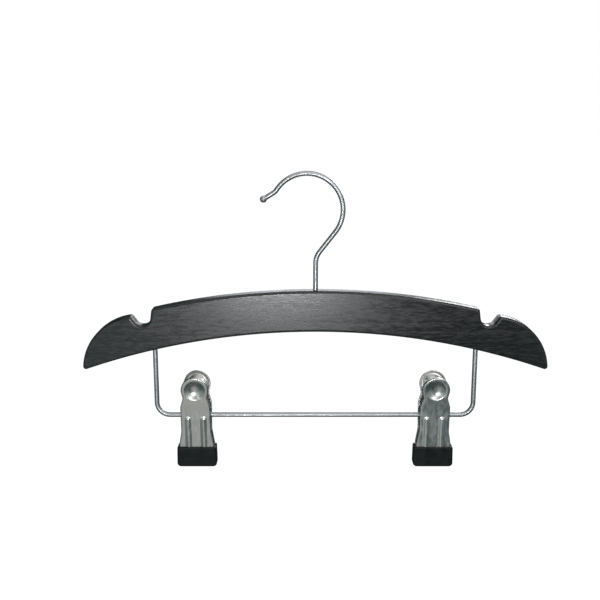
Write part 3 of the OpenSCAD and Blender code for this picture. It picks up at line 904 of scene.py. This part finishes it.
# Studio
def seen_white(tree):
    """1 for what the camera sees, also in a mirror or glass, and 0 for what lights the object."""
    path = node(tree, "ShaderNodeLightPath")
    seen = maths(tree, "MAXIMUM", path.outputs["Is Camera Ray"], path.outputs["Is Glossy Ray"])
    return maths(tree, "MAXIMUM", seen, path.outputs["Is Transmission Ray"])


def make_world(fill_light):
    """A world that is seen white and lights the object at the strength fill_light."""
    world = bpy.data.worlds.new("studio")
    bpy.context.scene.world = world
    world.use_nodes = True
    tree = world.node_tree
    background = tree.nodes["Background"]
    background.inputs["Color"].default_value = (1, 1, 1, 1)
    strength = node(tree, "ShaderNodeMapRange")
    strength.inputs["To Min"].default_value = fill_light
    strength.inputs["To Max"].default_value = 1.0
    tree.links.new(seen_white(tree), strength.inputs["Value"])
    tree.links.new(strength.outputs["Result"], background.inputs["Strength"])


def make_floor(z, half, glow_strength):
    """A pale floor at height z that keeps the object's shadow, with sides of twice half, in metres."""
    verts = [(-half, -half, z), (half, -half, z), (half, half, z), (-half, half, z)]
    floor = new_piece("floor", verts, [(0, 1, 2, 3)], scale=1)
    mat = bpy.data.materials.new("pale_floor")
    mat.use_nodes = True
    tree = mat.node_tree
    tree.nodes.remove(tree.nodes["Principled BSDF"])
    diffuse = node(tree, "ShaderNodeBsdfDiffuse", Color=(0.82, 0.82, 0.82, 1))
    glow = node(tree, "ShaderNodeEmission", Color=(1, 1, 1, 1))
    tree.links.new(maths(tree, "MULTIPLY", seen_white(tree), glow_strength), glow.inputs["Strength"])
    both = node(tree, "ShaderNodeAddShader")
    tree.links.new(diffuse.outputs["BSDF"], both.inputs[0])
    tree.links.new(glow.outputs["Emission"], both.inputs[1])
    tree.links.new(both.outputs["Shader"], tree.nodes["Material Output"].inputs["Surface"])
    floor.data.materials.append(mat)


def towards(azimuth, elevation):
    """A unit direction. Azimuth 0 is the front, and 90 the right."""
    a, e = radians(azimuth), radians(elevation)
    return (cos(e) * sin(a), -cos(e) * cos(a), sin(e))


def soft_card(tree, way, azimuth, elevation, inner, outer, glow):
    """A round patch of light about a direction, even up to an inner angle and gone by an outer one."""
    toward = node(tree, "ShaderNodeVectorMath", operation="DOT_PRODUCT")
    tree.links.new(way, toward.inputs[0])
    toward.inputs[1].default_value = towards(azimuth, elevation)
    fall = node(tree, "ShaderNodeMapRange", interpolation_type="SMOOTHSTEP")
    tree.links.new(toward.outputs["Value"], fall.inputs["Value"])
    fall.inputs["From Min"].default_value = cos(radians(outer))
    fall.inputs["From Max"].default_value = cos(radians(inner))
    shown = node(tree, "ShaderNodeVectorMath", operation="SCALE")
    shown.inputs[0].default_value = glow
    tree.links.new(fall.outputs["Result"], shown.inputs["Scale"])
    return shown.outputs["Vector"]


def make_tent(centre, radii, base, cards):
    """A studio tent of soft cards round the object, which only polished surfaces show."""
    bpy.ops.mesh.primitive_uv_sphere_add(segments=64, ring_count=32, radius=1)
    tent = bpy.context.object
    tent.name = "tent"
    tent.data.transform(Matrix.Diagonal((*radii, 1)))
    tent.data.transform(Matrix.Translation(centre))
    mat = bpy.data.materials.new("tent_cards")
    mat.use_nodes = True
    tree = mat.node_tree
    tree.nodes.remove(tree.nodes["Principled BSDF"])
    coords = node(tree, "ShaderNodeTexCoord")
    way = node(tree, "ShaderNodeVectorMath", operation="SUBTRACT")
    tree.links.new(coords.outputs["Object"], way.inputs[0])
    way.inputs[1].default_value = centre
    unit = node(tree, "ShaderNodeVectorMath", operation="NORMALIZE")
    tree.links.new(way.outputs["Vector"], unit.inputs[0])
    total = None
    for card in cards:
        shown = soft_card(tree, unit.outputs["Vector"], *card)
        both = node(tree, "ShaderNodeVectorMath", operation="ADD")
        tree.links.new(shown, both.inputs[0])
        if total is None:
            both.inputs[1].default_value = base
        else:
            tree.links.new(total, both.inputs[1])
        total = both.outputs["Vector"]
    glow = node(tree, "ShaderNodeEmission")
    tree.links.new(total, glow.inputs["Color"])
    tree.links.new(glow.outputs["Emission"], tree.nodes["Material Output"].inputs["Surface"])
    tent.data.materials.append(mat)
    tent.visible_camera = False
    tent.visible_diffuse = False
    tent.visible_shadow = False
    tent.visible_transmission = False
    tent.visible_volume_scatter = False


def make_light(name, place, target, size, power):
    """A soft oval lamp turned to a target, with its size in metres and its power in watts."""
    data = bpy.data.lights.new(name, "AREA")
    data.shape = "ELLIPSE"
    data.size, data.size_y = size
    data.energy = power
    data.color = (0.96, 0.98, 1.0)
    lamp = bpy.data.objects.new(name, data)
    bpy.context.scene.collection.objects.link(lamp)
    lamp.location = place
    lamp.rotation_euler = (Vector(target) - Vector(place)).to_track_quat("-Z", "Y").to_euler()


def make_camera(place, pitch, focal):
    data = bpy.data.cameras.new("camera")
    data.sensor_width = 36
    data.lens = focal
    camera = bpy.data.objects.new("camera", data)
    bpy.context.scene.collection.objects.link(camera)
    camera.location = place
    camera.rotation_euler = (radians(90 - pitch), 0, 0)
    bpy.context.scene.camera = camera


# Lengths in the studio are in metres
HEART = Vector((0.0066, 0, -0.12))
LAMP_REACH = 1.1
make_world(0.32)
make_floor(-0.9, 12, 0.77)
WARM = Vector((1.0, 0.975, 0.94))
COOL = Vector((0.88, 1.0, 0.97))
# Each card: azimuth, elevation, inner and outer angle, and its light
make_tent(HEART, (1.7, 1.7, 0.76), Vector((0.050, 0.080, 0.085)), [
    (-13, -44, 8, 25, 0.56 * WARM),
    (11, 24, 14, 34, 0.8 * WARM),
    (-24, -8, 6, 18, 0.6 * COOL),
    (-56, -4, 14, 36, 0.36 * COOL),
    (50, -2, 14, 36, 0.36 * COOL),
    (13, -32, 4, 20, Vector((0.0, 0.03, 0.04))),
    (-104, 0, 6, 22, 0.3 * COOL),
    (104, 0, 6, 22, 0.3 * COOL),
    (0, 80, 18, 46, 1.3 * WARM),
    (180, 13, 3, 15, Vector((2.0, 2.05, 2.15))),
    (180, -50, 10, 28, 0.5 * COOL)])
for name, azimuth, elevation, size, power in (
        ("front", -2.8, -5, (0.24, 0.1), 3.8),
        ("key", 30, 26, (0.7, 0.5), 2.6),
        ("fill", -36, 16, (0.4, 0.4), 0.6),
        ("back", 150, 22, (0.5, 0.5), 5)):
    make_light(name, HEART + LAMP_REACH * Vector(towards(azimuth, elevation)), HEART, size, power)
make_camera((-0.0051, -0.6359, 0.0421), 12, 51.6)
bpy.context.scene.view_settings.view_transform = "Standard"
